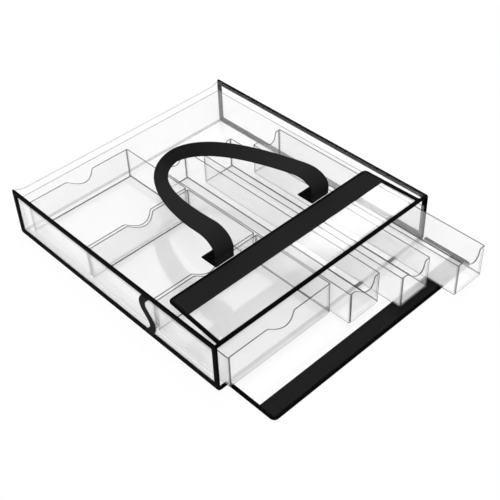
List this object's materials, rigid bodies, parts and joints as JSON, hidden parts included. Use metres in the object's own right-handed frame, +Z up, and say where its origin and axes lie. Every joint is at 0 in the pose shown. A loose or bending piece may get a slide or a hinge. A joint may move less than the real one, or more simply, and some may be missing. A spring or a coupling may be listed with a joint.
{
  "type": "drawer storage case",
  "caption": "Soft clear craft storage case with black bound edges, strap handle, front flaps and a rigid liner that holds sliding trays and long narrow drawers.",
  "frame": {"origin": "centre of the case's flat bottom face, flaps, drawers and handle left out", "axes": "+X to the right along the front, +Y to the back, +Z up; the drawers pull out along -Y"},
  "size_m": [0.3249, 0.434, 0.0941],
  "materials": {
    "clear_vinyl": "clear glossy vinyl sheet",
    "liner_plastic": "clear rigid plastic",
    "tray_plastic": "clear moulded plastic",
    "binding_tape": "black ribbed binding tape",
    "webbing": "dark woven webbing",
    "hook_and_loop": "dark napped hook-and-loop tape"
  },
  "bodies": {
    "case": {"wrap_sheet": "clear_vinyl", "side_panel_left": "clear_vinyl", "side_panel_right": "clear_vinyl", "side_binding_left": "binding_tape", "side_binding_right": "binding_tape", "front_top_binding": "binding_tape", "front_bottom_binding": "binding_tape", "liner_box": "liner_plastic", "side_ribbon": "webbing", "handle_tab_left": "webbing", "handle_tab_right": "webbing"},
    "handle": {"handle_strap": "webbing"},
    "upper_flap": {"top_flap": "clear_vinyl", "top_flap_binding": "binding_tape", "hook_strip": "hook_and_loop"},
    "lower_flap": {"front_flap": "clear_vinyl", "front_flap_binding": "binding_tape", "loop_strip": "hook_and_loop"},
    "rear_tray": {"tray_rear": "tray_plastic"},
    "middle_tray": {"tray_middle": "tray_plastic"},
    "front_tray": {"tray_front": "tray_plastic"},
    "left_drawer": {"drawer_left": "tray_plastic"},
    "centre_drawer": {"drawer_centre": "tray_plastic"},
    "right_drawer": {"drawer_right": "tray_plastic"}
  },
  "joints": [
    {"name": "handle_lift", "type": "hinge", "parent": "case", "child": "handle", "pos_m": [0, -0.09182, 0.0715], "axis": [1, 0, 0], "range_deg": [0, 85]},
    {"name": "upper_flap_turn", "type": "hinge", "parent": "case", "child": "upper_flap", "pos_m": [0, -0.1735, 0.0661], "axis": [1, 0, 0], "range_deg": [0, 180]},
    {"name": "lower_flap_turn", "type": "hinge", "parent": "case", "child": "lower_flap", "pos_m": [0, -0.1761, 0.0013], "axis": [-1, 0, 0], "range_deg": [-90, 0]},
    {"name": "rear_tray_slide", "type": "slide", "parent": "case", "child": "rear_tray", "axis": [0, -1, 0], "range_m": [-0.0096, 0.3395]},
    {"name": "middle_tray_slide", "type": "slide", "parent": "rear_tray", "child": "middle_tray", "axis": [0, -1, 0], "range_m": [-0.0025, 0.225]},
    {"name": "front_tray_slide", "type": "slide", "parent": "middle_tray", "child": "front_tray", "axis": [0, -1, 0], "range_m": [-0.0025, 0.1105]},
    {"name": "left_drawer_slide", "type": "slide", "parent": "case", "child": "left_drawer", "axis": [0, -1, 0], "range_m": [-0.0345, 0.2855]},
    {"name": "centre_drawer_slide", "type": "slide", "parent": "case", "child": "centre_drawer", "axis": [0, -1, 0], "range_m": [-0.057, 0.263]},
    {"name": "right_drawer_slide", "type": "slide", "parent": "case", "child": "right_drawer", "axis": [0, -1, 0], "range_m": [-0.087, 0.233]}
  ]
}
